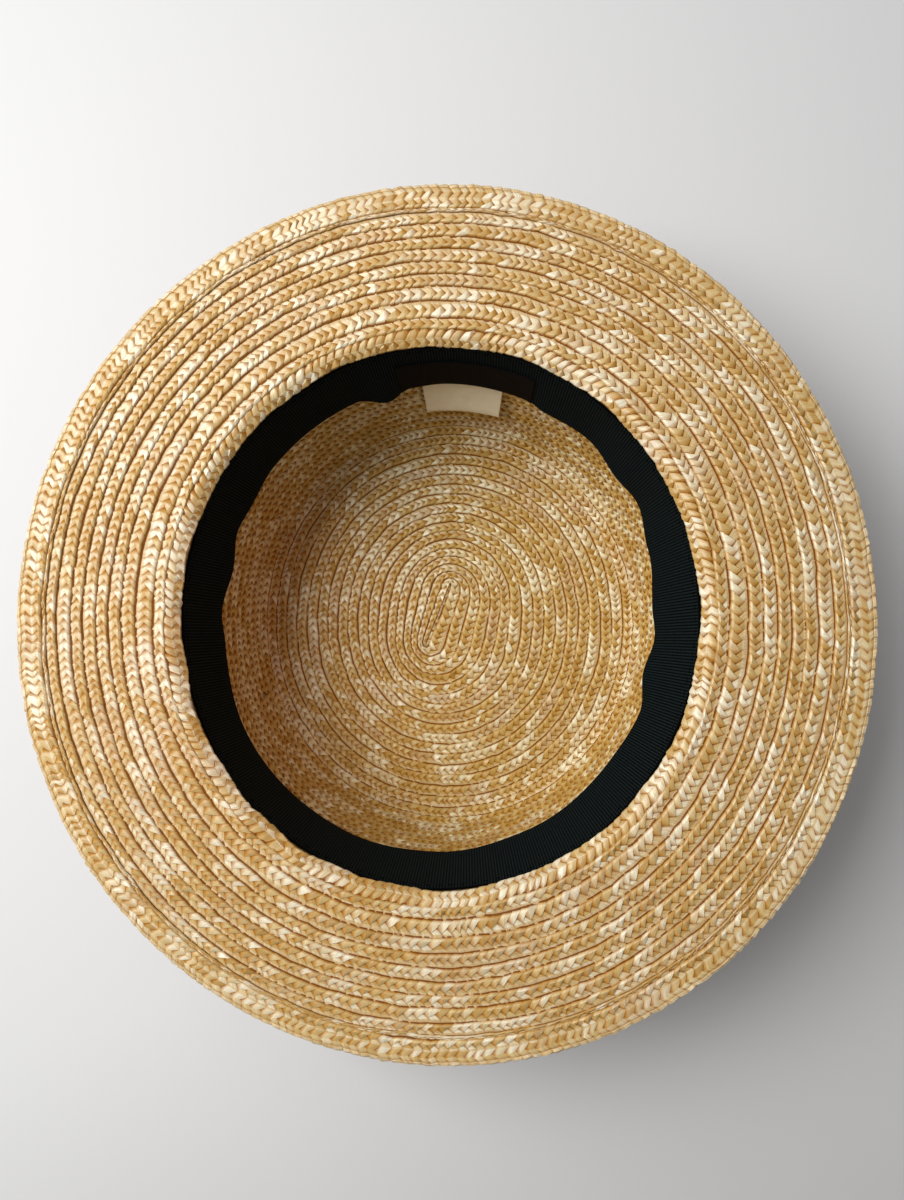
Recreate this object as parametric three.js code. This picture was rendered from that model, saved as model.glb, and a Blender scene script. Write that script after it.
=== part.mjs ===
// A straw boater hat lying on its crown, with the head opening up.
// Millimetres, +Z up. The origin is the middle of the crown's flat tip, +Y is the back of the hat.
import * as THREE from 'three';

// Head oval: the straw's inner face where the sweatband is sewn in
const HEAD_HALF_WIDTH = 91.2;
const HEAD_HALF_LENGTH = 95;
const HEAD_RADIUS = (HEAD_HALF_WIDTH + HEAD_HALF_LENGTH) / 2;
const OVAL = (HEAD_HALF_LENGTH - HEAD_HALF_WIDTH) / 2;
const OVAL_FADE = 30; // radius inside which the tip's rings turn from oval to round

// Straw: flat braid sewn in a spiral, each row lapped over its neighbour
const STRAW = 1.6; // wall between the low edges of the rows
const ROW_PITCH = 4.8;
const ROW_STEP = 0.6; // how far a row's free lip stands above the next row
const EDGE_ROW = 8.4; // the last row at the rim shows its whole width
const STRAW_SIDES = 40;

// Crown and brim sections
const HAT_HEIGHT = 90;
const BRIM_REACH = 57.5;
const TURN_RADIUS = 5; // inside bend from crown wall to brim
const TURN_STEPS = 4;
const WALL_TOP = HAT_HEIGHT - TURN_RADIUS;
const WALL_TAPER = 6.6;
const WALL_BULGE_HEIGHT = 45; // the wall stays nearly upright above this height
const WALL_BULGE_INSET = 0.3;
const WALL_STATIONS = 5;
const TIP_CORNER = 12; // inside radius of the corner between tip and wall
const CORNER_STEPS = 4;
const SEED_RADIUS = 8; // the folded start of the braid, without lapped rows
const GAP = 0.3;

// Gentle waves of the brim: how many crests, how high at the rim, where the first crest is
const BRIM_WAVES = [
  { crests: 2, lift: 0.9, turn: 120 },
  { crests: 3, lift: 0.6, turn: 20 },
];

// Sweatband: grosgrain ribbon sewn along its upper edge only
const BAND_WIDTH = 30;
const BAND_THICK = 1;
const BAND_TOP = WALL_TOP + 0.5;
const BAND_SEAT = 0.4; // clearance to the straw
const BAND_SIDES = 120;

// How far the free edge leans in at each wave, by turn in degrees clockwise from the back
const BAND_LEAN = [
  { turn: 0, lean: 2.6 },
  { turn: 27, lean: 3.4 },
  { turn: 40, lean: 2.4 },
  { turn: 52, lean: 4.6 },
  { turn: 60, lean: 3 },
  { turn: 72, lean: 6 },
  { turn: 87, lean: 8 },
  { turn: 94, lean: 7 },
  { turn: 103, lean: 9.2 },
  { turn: 114, lean: 5.8 },
  { turn: 126, lean: 6.4 },
  { turn: 157, lean: 5 },
  { turn: 180, lean: 3.3 },
  { turn: 205, lean: 2 },
  { turn: 238, lean: 1.2 },
  { turn: 263, lean: 2.8 },
  { turn: 270, lean: 1.8 },
  { turn: 281, lean: 4.2 },
  { turn: 291, lean: 1.6 },
  { turn: 298, lean: 2.4 },
  { turn: 310, lean: 1.2 },
  { turn: 336, lean: 1.2 },
  { turn: 344, lean: 5.6 },
  { turn: 351, lean: 2.6 },
  { turn: 360, lean: 2.6 },
];

// Label on the sweatband and size tag behind it, at the back
const LABEL = { width: 56, height: 18, thick: 1, turn: 5.4, drop: 20.5, across: 16, down: 2 };
const TAG = { width: 31, height: 36, thick: 1, turn: 5, drop: 36, across: 4, down: 4 };

const NATURAL_STRAW = new THREE.MeshStandardMaterial({ color: 0xd2a566, roughness: 0.6 });
const BLACK_GROSGRAIN = new THREE.MeshStandardMaterial({ color: 0x14171a, roughness: 0.8 });
const BROWN_LABEL = new THREE.MeshStandardMaterial({ color: 0x1c1210, roughness: 0.7 });
const CREAM_TAPE = new THREE.MeshStandardMaterial({ color: 0xd8c9a6, roughness: 0.9 });

const at = (radius, height) => new THREE.Vector2(radius, height);
const UP = at(0, 1);
const DOWN = at(0, -1);

// The oval ring's point at a turn from the back, for a mean radius and a height
function ovalPoint(turn, radius, height, point) {
  const stretch = OVAL * Math.min(1, radius / OVAL_FADE);
  const angle = THREE.MathUtils.degToRad(turn);
  return point.set((radius - stretch) * Math.sin(angle), (radius + stretch) * Math.cos(angle), height);
}

function turnOf(point) {
  return THREE.MathUtils.euclideanModulo(THREE.MathUtils.radToDeg(Math.atan2(point.x, point.y)), 360);
}

function reshape(geometry, move) {
  const position = geometry.attributes.position;
  const point = new THREE.Vector3();
  for (let index = 0; index < position.count; index += 1) {
    move(point.fromBufferAttribute(position, index));
    position.setXYZ(index, point.x, point.y, point.z);
  }
  return geometry;
}

// A ring or bowl about +Z from a profile that runs from its hollow side over the rim to its outside
function revolve(profile, sides) {
  return new THREE.LatheGeometry(profile.toReversed(), sides).rotateX(Math.PI / 2);
}

// Rows of braid along a straight run: a saw-tooth, each row's free lip towards the run's start
function lappedRows(from, to, face) {
  const run = new THREE.LineCurve(from, to);
  const count = Math.round(run.getLength() / ROW_PITCH);
  const points = [];
  for (let row = 0; row < count; row += 1) {
    const lip = run.getPoint(row / count).addScaledVector(face, ROW_STEP);
    points.push(lip, run.getPoint((row + 1) / count));
  }
  return points;
}

function arc(centre, radius, fromAngle, toAngle, steps) {
  const clockwise = toAngle < fromAngle;
  const bend = new THREE.EllipseCurve(centre.x, centre.y, radius, radius, fromAngle, toAngle, clockwise);
  return bend.getPoints(steps);
}

// The crown wall's inner face, from the corner of the tip up to the brim's turn
const CORNER_CENTRE = at(HEAD_RADIUS - WALL_TAPER - TIP_CORNER, STRAW + TIP_CORNER);
const WALL_INSIDE = new THREE.QuadraticBezierCurve(
  at(CORNER_CENTRE.x + TIP_CORNER, CORNER_CENTRE.y),
  at(HEAD_RADIUS - WALL_BULGE_INSET, WALL_BULGE_HEIGHT),
  at(HEAD_RADIUS, WALL_TOP - GAP),
).getPoints(WALL_STATIONS - 1);

function wallRadius(height) {
  const upper = WALL_INSIDE.findIndex((station) => station.y >= height);
  if (upper < 1) return HEAD_RADIUS;
  const low = WALL_INSIDE[upper - 1];
  const high = WALL_INSIDE[upper];
  return THREE.MathUtils.mapLinear(height, low.y, high.y, low.x, high.x);
}

function crownGeometry() {
  const tipInside = lappedRows(at(SEED_RADIUS, STRAW), at(CORNER_CENTRE.x, STRAW), UP);
  const cornerInside = arc(CORNER_CENTRE, TIP_CORNER, -Math.PI / 2, 0, CORNER_STEPS).slice(1, -1);
  const cornerOutside = arc(CORNER_CENTRE, TIP_CORNER + STRAW, 0, -Math.PI / 2, CORNER_STEPS);
  const wallOutside = WALL_INSIDE.map((station) => at(station.x + STRAW, station.y)).reverse();
  const wallRows = wallOutside.slice(1).flatMap((station, index) => {
    const facing = station.clone().sub(wallOutside[index]).normalize();
    return lappedRows(wallOutside[index], station, at(-facing.y, facing.x));
  });
  const profile = [
    at(0, STRAW),
    at(SEED_RADIUS, STRAW),
    ...tipInside,
    ...cornerInside,
    ...WALL_INSIDE,
    ...wallRows,
    ...cornerOutside.slice(1),
    at(0, 0),
  ];
  return reshape(revolve(profile, STRAW_SIDES), (point) => {
    ovalPoint(turnOf(point), Math.hypot(point.x, point.y), point.z, point);
  });
}

function brimGeometry() {
  const turnCentre = at(HEAD_RADIUS + TURN_RADIUS, WALL_TOP);
  const rim = HEAD_RADIUS + BRIM_REACH;
  const topFace = HAT_HEIGHT - STRAW;
  const profile = [
    ...arc(turnCentre, TURN_RADIUS, Math.PI, Math.PI / 2, TURN_STEPS),
    ...lappedRows(at(turnCentre.x, HAT_HEIGHT), at(rim - EDGE_ROW, HAT_HEIGHT), UP),
    at(rim - EDGE_ROW, HAT_HEIGHT + ROW_STEP),
    at(rim, HAT_HEIGHT),
    ...lappedRows(at(rim, topFace), at(turnCentre.x, topFace), DOWN),
    ...arc(turnCentre, TURN_RADIUS - STRAW, Math.PI / 2, Math.PI, TURN_STEPS),
    at(HEAD_RADIUS, WALL_TOP),
  ];
  return reshape(revolve(profile, STRAW_SIDES), (point) => {
    const radius = Math.hypot(point.x, point.y);
    const turn = turnOf(point);
    const reach = Math.max(0, (radius - turnCentre.x) / (rim - turnCentre.x));
    let height = point.z;
    for (const { crests, lift, turn: crest } of BRIM_WAVES) {
      height += lift * reach * reach * Math.cos(THREE.MathUtils.degToRad(crests * (turn - crest)));
    }
    ovalPoint(turn, radius, height, point);
  });
}

function bandLean(turn) {
  const next = BAND_LEAN.findIndex((wave) => wave.turn > turn);
  const from = BAND_LEAN[next - 1];
  const to = BAND_LEAN[next];
  const way = (1 - Math.cos((Math.PI * (turn - from.turn)) / (to.turn - from.turn))) / 2;
  return THREE.MathUtils.lerp(from.lean, to.lean, way);
}

// A point of the sweatband: drop below its sewn edge, depth inward from its outer face
function bandPoint(turn, drop, depth, point) {
  const freeEdge = wallRadius(BAND_TOP - BAND_WIDTH) - BAND_SEAT - bandLean(turn);
  const outerFace = THREE.MathUtils.lerp(HEAD_RADIUS - BAND_SEAT, freeEdge, drop / BAND_WIDTH);
  return ovalPoint(turn, outerFace - depth, BAND_TOP - drop, point);
}

function sweatbandGeometry() {
  const freeEdge = at(BAND_THICK, BAND_WIDTH);
  const section = [freeEdge, at(BAND_THICK, 0), at(0, 0), at(0, BAND_WIDTH), freeEdge];
  const profile = section.map(({ x: depth, y: drop }) => at(HEAD_RADIUS - depth, BAND_TOP - drop));
  return reshape(revolve(profile, BAND_SIDES), (point) => {
    const depth = HEAD_RADIUS - Math.hypot(point.x, point.y);
    bandPoint(turnOf(point), BAND_TOP - point.z, depth, point);
  });
}

// A flat patch of cloth, bent round the head oval: x runs along the ribbon, y up and z inward
function patch({ width, height, thick, turn, drop, across, down }, seat) {
  const flat = new THREE.BoxGeometry(width, height, thick, across, down, 1);
  return reshape(flat, (point) => {
    const alongTurn = turn + THREE.MathUtils.radToDeg(point.x / HEAD_RADIUS);
    seat(THREE.MathUtils.euclideanModulo(alongTurn, 360), drop - point.y, point.z + thick / 2, point);
  });
}

function labelGeometry() {
  return patch(LABEL, (turn, drop, depth, point) => bandPoint(turn, drop, BAND_THICK + GAP + depth, point));
}

function sizeTagGeometry() {
  return patch(TAG, (turn, drop, depth, point) => {
    const height = BAND_TOP - drop;
    return ovalPoint(turn, wallRadius(height) - BAND_SEAT - depth, height, point);
  });
}

const hat = new THREE.Group();

function addPiece(name, geometry, material) {
  const piece = new THREE.Mesh(geometry, material);
  piece.name = name;
  hat.add(piece);
}

addPiece('crown', crownGeometry(), NATURAL_STRAW);
addPiece('brim', brimGeometry(), NATURAL_STRAW);
addPiece('sweatband', sweatbandGeometry(), BLACK_GROSGRAIN);
addPiece('label', labelGeometry(), BROWN_LABEL);
addPiece('size_tag', sizeTagGeometry(), CREAM_TAPE);

export default hat;
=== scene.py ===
# %% [markdown]
# # A straw boater, seen from above into its crown
# The hat lies on its flat tip with the head opening up. Its crown and brim are one long flat braid of
# wheat straw, sewn round and round so that each row laps over the next. A black ribbon is sewn inside the
# opening by its upper edge, with a bare label on it and a bare size tag behind it.
#
# The solids that are loaded first are the fixed frame: they give every size and place below.

# %% Load the frame
import math
from collections import namedtuple

import bpy
import numpy as np
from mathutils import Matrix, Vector


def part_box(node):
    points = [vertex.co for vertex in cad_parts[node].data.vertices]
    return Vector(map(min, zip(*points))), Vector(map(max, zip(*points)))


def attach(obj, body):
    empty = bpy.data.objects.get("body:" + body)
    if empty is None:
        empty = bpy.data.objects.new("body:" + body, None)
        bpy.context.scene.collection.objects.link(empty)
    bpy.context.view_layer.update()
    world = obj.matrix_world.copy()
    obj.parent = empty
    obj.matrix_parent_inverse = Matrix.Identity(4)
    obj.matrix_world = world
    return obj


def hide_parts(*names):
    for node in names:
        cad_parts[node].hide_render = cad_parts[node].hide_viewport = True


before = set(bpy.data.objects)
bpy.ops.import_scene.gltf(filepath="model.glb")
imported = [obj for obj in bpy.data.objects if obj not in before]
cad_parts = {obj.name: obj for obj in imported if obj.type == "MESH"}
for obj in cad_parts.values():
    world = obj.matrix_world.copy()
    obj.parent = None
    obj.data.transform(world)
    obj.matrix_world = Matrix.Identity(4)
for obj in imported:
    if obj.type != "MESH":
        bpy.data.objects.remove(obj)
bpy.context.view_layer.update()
MM = 0.001

# %% [markdown]
# ## The camera
# The photograph was taken by hand from a little over the hat, so the wide lens shows the brim larger than
# the tip. A camera is easiest to trust when it is solved from known outlines: the brim's edge, the opening
# and the ribbon's free edge, all of them ovals of known size and height, fix its place and its tilt.

# %% Camera
CAMERA_PLACE = (0.0224, -0.0132, 0.401)
CAMERA_TILT = (0.057, 0.055, 0.0)
CAMERA_LENS = 27.03

camera = bpy.data.objects.new("camera", bpy.data.cameras.new("camera"))
camera.location = CAMERA_PLACE
camera.rotation_euler = CAMERA_TILT
camera.data.lens = CAMERA_LENS
camera.data.clip_start = 0.01
bpy.context.collection.objects.link(camera)
bpy.context.scene.camera = camera
print("camera", CAMERA_PLACE, "lens", CAMERA_LENS)

# %% [markdown]
# ## Driving sizes
# All shapes are worked out in millimetres and scaled to metres when a mesh is made. The rim's oval comes
# from the frame, and the head oval lies one brim's reach inside it. A turn is an angle clockwise from the
# back of the hat, seen from above, in radians.

# %% Sizes of the hat
rim_half_width, rim_half_length = (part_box("brim")[1] / MM).xy
RIM_RADIUS = (rim_half_width + rim_half_length) / 2
OVAL = (rim_half_length - rim_half_width) / 2
OVAL_FADE = 30  # nearer the middle than this the rings grow rounder
BRIM_REACH = 57.5
HEAD_RADIUS = RIM_RADIUS - BRIM_REACH
HAT_HEIGHT = 90
STRAW = 1.6  # thickness of the lapped rows
TURN_RADIUS = 5  # of the bend from the wall to the brim
WALL_TOP = HAT_HEIGHT - TURN_RADIUS
TURN_CENTRE = HEAD_RADIUS + TURN_RADIUS
WALL_TAPER = 6.6
WALL_BULGE_HEIGHT = 45
WALL_BULGE_INSET = 0.3
TIP_CORNER = 12
CORNER_CENTRE = (HEAD_RADIUS - WALL_TAPER - TIP_CORNER, STRAW + TIP_CORNER)
print("head radius", round(HEAD_RADIUS, 1), "rim radius", round(RIM_RADIUS, 1), "oval", round(OVAL, 2))

# %% [markdown]
# ## Ground plan and sections
# A braid that is sewn into a flat tip starts from a straight fold, so the first rows are long loops, and
# they ease out into the head oval. The plan below turns a radius and a turn into x and y with that easing.
# A section is a line of radius and height through the straw. It could be kept as a curve object, but plain
# arrays let thousands of points be placed at once: a distance along the section, a turn and a lift off the
# face give a point of the hat.

# %% Ground plan
SEED_CENTRE = (-6.0, 3.6)
SEED_HALF = 14.5
SEED_ANGLE = math.radians(22)
SEED_FADE = 28  # how soon the loops ease into the oval
SEED_SQUARE = 5  # how straight the sides of the loops are
Wave = namedtuple("Wave", "crests lift turn")
BRIM_WAVES = [Wave(2, 0.9, math.radians(120)), Wave(3, 0.6, math.radians(20))]


def plan(radius, turn):
    """x and y of a ring at a mean radius: long loops round the fold, easing out into the head oval."""
    fold = np.exp(-radius / SEED_FADE)
    stretch = OVAL * np.minimum(1, radius / OVAL_FADE)
    square = np.tanh(SEED_SQUARE * np.cos(turn)) / math.tanh(SEED_SQUARE)
    across = (radius - stretch) * np.sin(turn)
    along = (radius + stretch) * np.cos(turn) + SEED_HALF * fold * square
    lean = SEED_ANGLE * fold
    x = across * np.cos(lean) + along * np.sin(lean) + SEED_CENTRE[0] * fold
    y = along * np.cos(lean) - across * np.sin(lean) + SEED_CENTRE[1] * fold
    return x, y


def swell(waves, turn):
    """How far the waves together rise and fall at a turn."""
    return sum(wave.lift * np.cos(wave.crests * (turn - wave.turn)) for wave in waves)


def brim_wave(radius, turn):
    """How far the brim rises and falls, growing from its bend to its rim."""
    reach = np.maximum(0, (radius - TURN_CENTRE) / (RIM_RADIUS - TURN_CENTRE))
    return reach**2 * swell(BRIM_WAVES, turn)


print("seed fold", 2 * SEED_HALF, "mm long, waves", len(BRIM_WAVES))

# %% Sections through the straw
Section = namedtuple("Section", "along radius height face_radius face_height")
SECTION_STEP = 0.1
ARC_STEPS = 24
HOLLOW_SIDE, OUTER_SIDE = 1, -1  # the two faces of the straw


def section(corners, side):
    """A section from a line of (radius, height): evenly stepped, with the way its face looks."""
    corners = np.array(corners, float)
    reach = np.concatenate([[0], np.cumsum(np.hypot(*np.diff(corners, axis=0).T))])
    along = np.linspace(0, reach[-1], int(reach[-1] / SECTION_STEP))
    radius = np.interp(along, reach, corners[:, 0])
    height = np.interp(along, reach, corners[:, 1])
    rise = np.gradient(height, along)
    run = np.gradient(radius, along)
    return Section(along, radius, height, -side * rise, side * run)


def arc(centre, radius, start, end):
    """Points of an arc in a section, between two angles in degrees from the outward direction."""
    angles = np.radians(np.linspace(start, end, ARC_STEPS))
    return [(centre[0] + radius * math.cos(a), centre[1] + radius * math.sin(a)) for a in angles]


def skin(through):
    """The function that places points on a section: distance along it, turn, and lift off its face."""

    def place(along, turn, lift):
        radius = np.interp(along, through.along, through.radius)
        radius = radius + lift * np.interp(along, through.along, through.face_radius)
        height = np.interp(along, through.along, through.height)
        height = height + lift * np.interp(along, through.along, through.face_height)
        x, y = plan(np.maximum(radius, 0), turn)
        return np.stack([x, y, height + brim_wave(radius, turn)], axis=-1)

    return place


print("sections are stepped every", SECTION_STEP, "mm")

# %% [markdown]
# ## How the braid is drawn
# Each straw of the braid shows as a short slanted float that dives under the next. Seen across one lapped
# row, from its free lip to where the next row covers it, there are three columns: wide floats that bend
# over the lip and end in blunt points, floats slanted the other way that show as triangles between those
# points, and a narrow pale strip by the seam.
#
# Instancing a modelled float would leave gaps and hidden faces, so the braid is one lattice: a few lines of
# points for each float along the row and a station for each place across it. The first table gives the
# lines of one float: how far along it, how high it stands there and how dark its groove is painted as
# shade, both for a float at the lip and for an inner float beside it, and how far the float's point has
# grown. The others list the stations: how far across from the lip, how high the lapped row stands, how much
# of the float's puff shows, how far the float leads along the row, how far its points reach across the row
# and swing back along it, how much of the groove's painted shade shows, how dark the whole station is
# painted as shade, and which column the faces after it belong to. A lip is rounded: it starts low, with a
# narrow edge painted dark as shade, which stands for the shadowed gap under it, and rises to its full
# height within a millimetre.

# %% Braid sizes and the lines of a float
ROW_PITCH = 4.8
FLOAT_PITCH = 3.25
FLOAT_PUFF = 0.32

# groove and inner_groove are painted shade: how dark the crease at each line of a float is drawn
Line = namedtuple("Line", "along rise inner_rise groove inner_groove point")
FINE_FLOAT = [
    Line(0.00, 0.00, 0.05, 1.00, 0.9, -1.0),
    Line(0.12, 0.50, 0.50, 0.25, 0.3, -0.6),
    Line(0.66, 1.00, 1.00, 0.00, 0.0, 0.5),
    Line(0.90, 0.80, 0.00, 0.65, 1.0, 1.0),
]
PLAIN_FLOAT = [
    Line(0.00, 0.0, 0.1, 1.0, 0.8, -1.0),
    Line(0.40, 1.0, 1.0, 0.0, 0.0, 0.2),
    Line(0.86, 0.9, 0.0, 0.2, 1.0, 1.0),
]
COLUMN_COUNT = 6
LIP_FLOATS, INNER_FLOATS, SEAM_STRIP, OUTER_FLOATS, RIM_FLOATS, UNDER = range(COLUMN_COUNT)
LATE_COLUMNS = (INNER_FLOATS, RIM_FLOATS)  # their floats start at the points of the floats before
print("a float has", len(FINE_FLOAT), "lines where it shows and", len(PLAIN_FLOAT), "elsewhere")

# %% Stations across a row
# groove and dark are painted shade: lip faces, the narrow edge under each lip, seams and the strip behind
# the ribbon are drawn darker
Station = namedtuple("Station", "across lift puff lead reach swing groove dark column")
LIP = [
    Station(-0.44, 0.58, 0.5, -0.3, 0.00, 0.0, 0.0, 1.0, UNDER),
    Station(0.04, 0.50, 0.4, -0.2, -0.10, 0.0, 0.0, 0.95, LIP_FLOATS),
    Station(0.14, 0.76, 0.7, -0.05, -0.12, 0.0, 0.5, 0.60, LIP_FLOATS),
    Station(0.45, 1.14, 0.8, 0.3, -0.05, 0.0, 0.4, 0.12, LIP_FLOATS),
    Station(1.00, 1.34, 0.9, 0.8, 0.00, 0.0, 0.5, 0.0, LIP_FLOATS),
]
LAPPED_ROW = LIP + [
    Station(2.55, 1.02, 0.8, 2.2, 0.70, 1.2, 1.0, 0.0, INNER_FLOATS),
    Station(2.86, 0.72, 0.7, 2.2, 0.70, 1.2, 1.0, 0.0, INNER_FLOATS),
    Station(3.68, 0.72, 0.6, 0.5, 0.05, 0.0, 0.6, 0.0, SEAM_STRIP),
    Station(4.50, 0.50, 0.5, 0.2, 0.00, 0.0, 0.3, 0.35, SEAM_STRIP),
    Station(5.80, 0.20, 0.0, 0.1, 0.00, 0.0, 0.0, 0.4, SEAM_STRIP),
]
HALF_ROW = LIP + [
    Station(2.15, 0.98, 0.8, 1.8, 0.60, 1.0, 0.9, 0.0, INNER_FLOATS),
    Station(2.45, 0.76, 0.7, 1.8, 0.60, 1.0, 1.0, 0.0, INNER_FLOATS),
    Station(3.20, 0.80, 0.6, 0.5, 0.03, 0.0, 0.6, 0.0, SEAM_STRIP),
]
# the strip that runs behind the ribbon is painted dark as shade
BEHIND_BAND = [
    Station(-4.00, 0.00, 0.0, 0.0, 0.00, 0.0, 0.0, 1.0, UNDER),
    Station(-0.10, 0.00, 0.0, -0.2, 0.00, 0.0, 0.0, 0.4, UNDER),
]
# a lip with no row under it takes a quarter of the painted shade
OPEN_LIP = [station._replace(dark=station.dark / 4) for station in HALF_ROW[1:]]  # no row lies under it
TURNING_ROW = BEHIND_BAND + OPEN_LIP + [
    Station(3.55, 0.74, 0.5, 0.4, 0.05, 0.0, 0.8, 0.0, OUTER_FLOATS),
    Station(4.70, 0.82, 0.9, 1.2, 0.00, 0.0, 1.0, 0.0, OUTER_FLOATS),
    Station(6.00, 0.66, 0.7, 2.2, 0.40, 0.7, 1.0, 0.0, OUTER_FLOATS),
    Station(7.60, 0.00, 0.0, 3.2, 0.00, 0.0, 0.0, 0.5, OUTER_FLOATS),
]
EDGE_ROW = HALF_ROW + [
    Station(3.90, 0.76, 0.4, 0.3, 0.12, 0.0, 0.7, 0.0, OUTER_FLOATS),
    Station(4.90, 0.88, 0.9, 1.1, 0.00, 0.0, 1.0, 0.0, OUTER_FLOATS),
    Station(5.90, 0.78, 0.8, 2.0, 0.35, 0.7, 1.0, 0.0, RIM_FLOATS),
    Station(6.40, 0.84, 0.6, 1.7, 0.05, 0.0, 0.4, 0.0, RIM_FLOATS),
    Station(7.35, 0.68, 0.9, 0.9, 0.15, 0.0, 0.9, 0.1, RIM_FLOATS),
    Station(7.62, 0.48, 0.5, 0.7, 0.05, 0.0, 0.5, 0.75, SEAM_STRIP),
    Station(7.85, 0.62, 0.8, 0.5, 0.00, 0.0, 0.5, 0.1, SEAM_STRIP),
    Station(8.45, 0.64, 1.2, 0.2, 0.00, 0.0, 0.6, 0.0, SEAM_STRIP),
    Station(9.00, 0.48, 0.9, 0.0, 0.00, 0.0, 0.6, 0.4, SEAM_STRIP),
    Station(10.2, -0.20, 0.0, -0.3, 0.00, 0.0, 0.0, 1.0, SEAM_STRIP),
]
PLAIN_ROW = LIP + [
    Station(2.65, 1.00, 1.0, 2.1, 0.70, 1.2, 1.0, 0.0, INNER_FLOATS),
    Station(3.50, 0.80, 0.8, 0.5, 0.05, 0.0, 0.6, 0.0, SEAM_STRIP),
    Station(4.50, 0.50, 0.2, 0.2, 0.00, 0.0, 0.3, 0.0, SEAM_STRIP),
    Station(5.80, 0.20, 0.0, 0.1, 0.00, 0.0, 0.0, 0.4, SEAM_STRIP),
]
print("stations across:", len(LAPPED_ROW), "on a lapped row,", len(EDGE_ROW), "on the edge row")

# %% Tones of the straws
Tone = namedtuple("Tone", "middle spread")
PALE, GOLD, SEAM, RIM = Tone(0.94, 0.10), Tone(0.50, 0.11), Tone(0.77, 0.08), Tone(0.70, 0.14)
AGE = Tone(0.42, 0.25)
SEAM_AGE = 0.75
MOOD_REACH = 5  # the reaches are in floats
MOOD_SCATTER = 0.6
MOOD_TONE = 0.05
PALE_ABOVE = 0.5
ALTERNATE_REACH = 28
ALTERNATE_TONE = 0.06
AGE_REACH = 7
AGE_SCATTER = 0.5


def wander(count, reach, draw):
    """Smooth uneven values along a row, of unit size, that close on themselves."""
    window = np.hanning(reach + 2)[1:-1]
    noise = draw.normal(0, 1, count)
    smooth = np.fft.irfft(np.fft.rfft(noise) * np.fft.rfft(window, count), count)
    return smooth / smooth.std()


def braid_tones(count, draw):
    """Tone and age of the straws of every column: gold, with paler and greyer straws in groups.

    The same straw comes back to the face at every other float, so tones also go by turns.
    """
    each = (count, COLUMN_COUNT)
    mood = wander(count, MOOD_REACH, draw)[:, None] + draw.normal(0, MOOD_SCATTER, each)
    every_other = np.where(np.arange(count) % 2, 1, -1) * wander(count, ALTERNATE_REACH, draw)
    gold = draw.normal(*GOLD, each) + MOOD_TONE * mood + ALTERNATE_TONE * every_other[:, None]
    tones = np.where(mood > PALE_ABOVE, draw.normal(*PALE, each), gold)
    tones[:, SEAM_STRIP] = draw.normal(*SEAM, count)
    tones[:, RIM_FLOATS] = draw.normal(*RIM, count)
    age = wander(count, AGE_REACH, draw)[:, None] + draw.normal(0, AGE_SCATTER, each)
    ages = AGE.middle + AGE.spread * age
    ages[:, SEAM_STRIP] = SEAM_AGE
    return np.clip(tones, 0, 1), np.clip(ages, 0, 1)


print("pale groups reach over about", MOOD_REACH, "floats")

# %% Lay a run of braid
Run = namedtuple("Run", "turn lip width closed")
Lattice = namedtuple("Lattice", "points hollow tones ages stations lines closed")
ROW_WANDER = 0.16
ROW_REACH = 7
LIP_JITTER = 0.15
SPACING_WANDER = 0.26
SPACING_REACH = 5
PUFF_SCATTER = 0.2
FLOAT_TILT = 0.27


def columns(rows, name):
    """One named column of a table as an array."""
    return np.array([getattr(row, name) for row in rows])


def starts_late(stations, lines):
    """By how many lines each station's floats start later than the lip's."""
    return np.where(np.isin(columns(stations, "column"), LATE_COLUMNS), len(lines) - 1, 0)


def by_column(stations, lines, name):
    """A value of each line of a float at each station, which is the end of the column before it."""
    before = np.append(UNDER, columns(stations, "column")[:-1])
    late = np.isin(before, LATE_COLUMNS)
    return np.where(late, columns(lines, "inner_" + name)[:, None], columns(lines, name)[:, None])


def lay_braid(run, stations, lines, side, place, draw):
    """One run of braid as a lattice of points: lines of each float by stations across the row."""
    middle = place(run.lip + side * run.width / 2, run.turn, 0)
    length = np.concatenate([[0], np.cumsum(np.linalg.norm(np.diff(middle, axis=0), axis=1))])
    count = int(length[-1] / FLOAT_PITCH)
    start = np.arange(count) + SPACING_WANDER * wander(count, SPACING_REACH, draw)
    gap = np.diff(start, append=start[0] + count)
    line = start[:, None] + columns(lines, "along") * gap[:, None]
    point = columns(lines, "point")[:, None]
    lead = columns(stations, "lead") - columns(stations, "swing") * (1 + point) / 2
    along = line[..., None] * length[-1] / count + lead
    if run.closed:
        along = along % length[-1]
    turn = np.interp(along, length, run.turn)
    drift = ROW_WANDER * wander(count, ROW_REACH, draw) + draw.normal(0, LIP_JITTER, count)
    drift = np.interp(line, np.arange(count), drift, period=count)[..., None]
    lip = np.interp(along, length, run.lip) + drift
    across = columns(stations, "across") + columns(stations, "reach") * point
    across = across * run.width / ROW_PITCH

    rise = by_column(stations, lines, "rise")
    uneven = draw.normal(1, PUFF_SCATTER, (count, 1, len(stations)))
    lift = columns(stations, "lift") + FLOAT_PUFF * columns(stations, "puff") * (uneven * rise - 0.5)
    tilt = draw.normal(0, FLOAT_TILT, (count, 1, 1)) * (columns(lines, "along")[:, None] - 0.5)
    points = place(lip + side * across, turn, lift + columns(stations, "puff") * tilt)
    # painted shade: the darker of the station's dark and its groove at each line
    groove = columns(stations, "groove") * by_column(stations, lines, "groove")
    hollow = np.tile(np.maximum(columns(stations, "dark"), groove), (count, 1))
    tones, ages = braid_tones(count, draw)
    return Lattice(points.reshape(*hollow.shape, 3), hollow, tones, ages, stations, lines, run.closed)


print("a float is", FLOAT_PITCH, "mm along a row of", ROW_PITCH, "mm")
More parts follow.
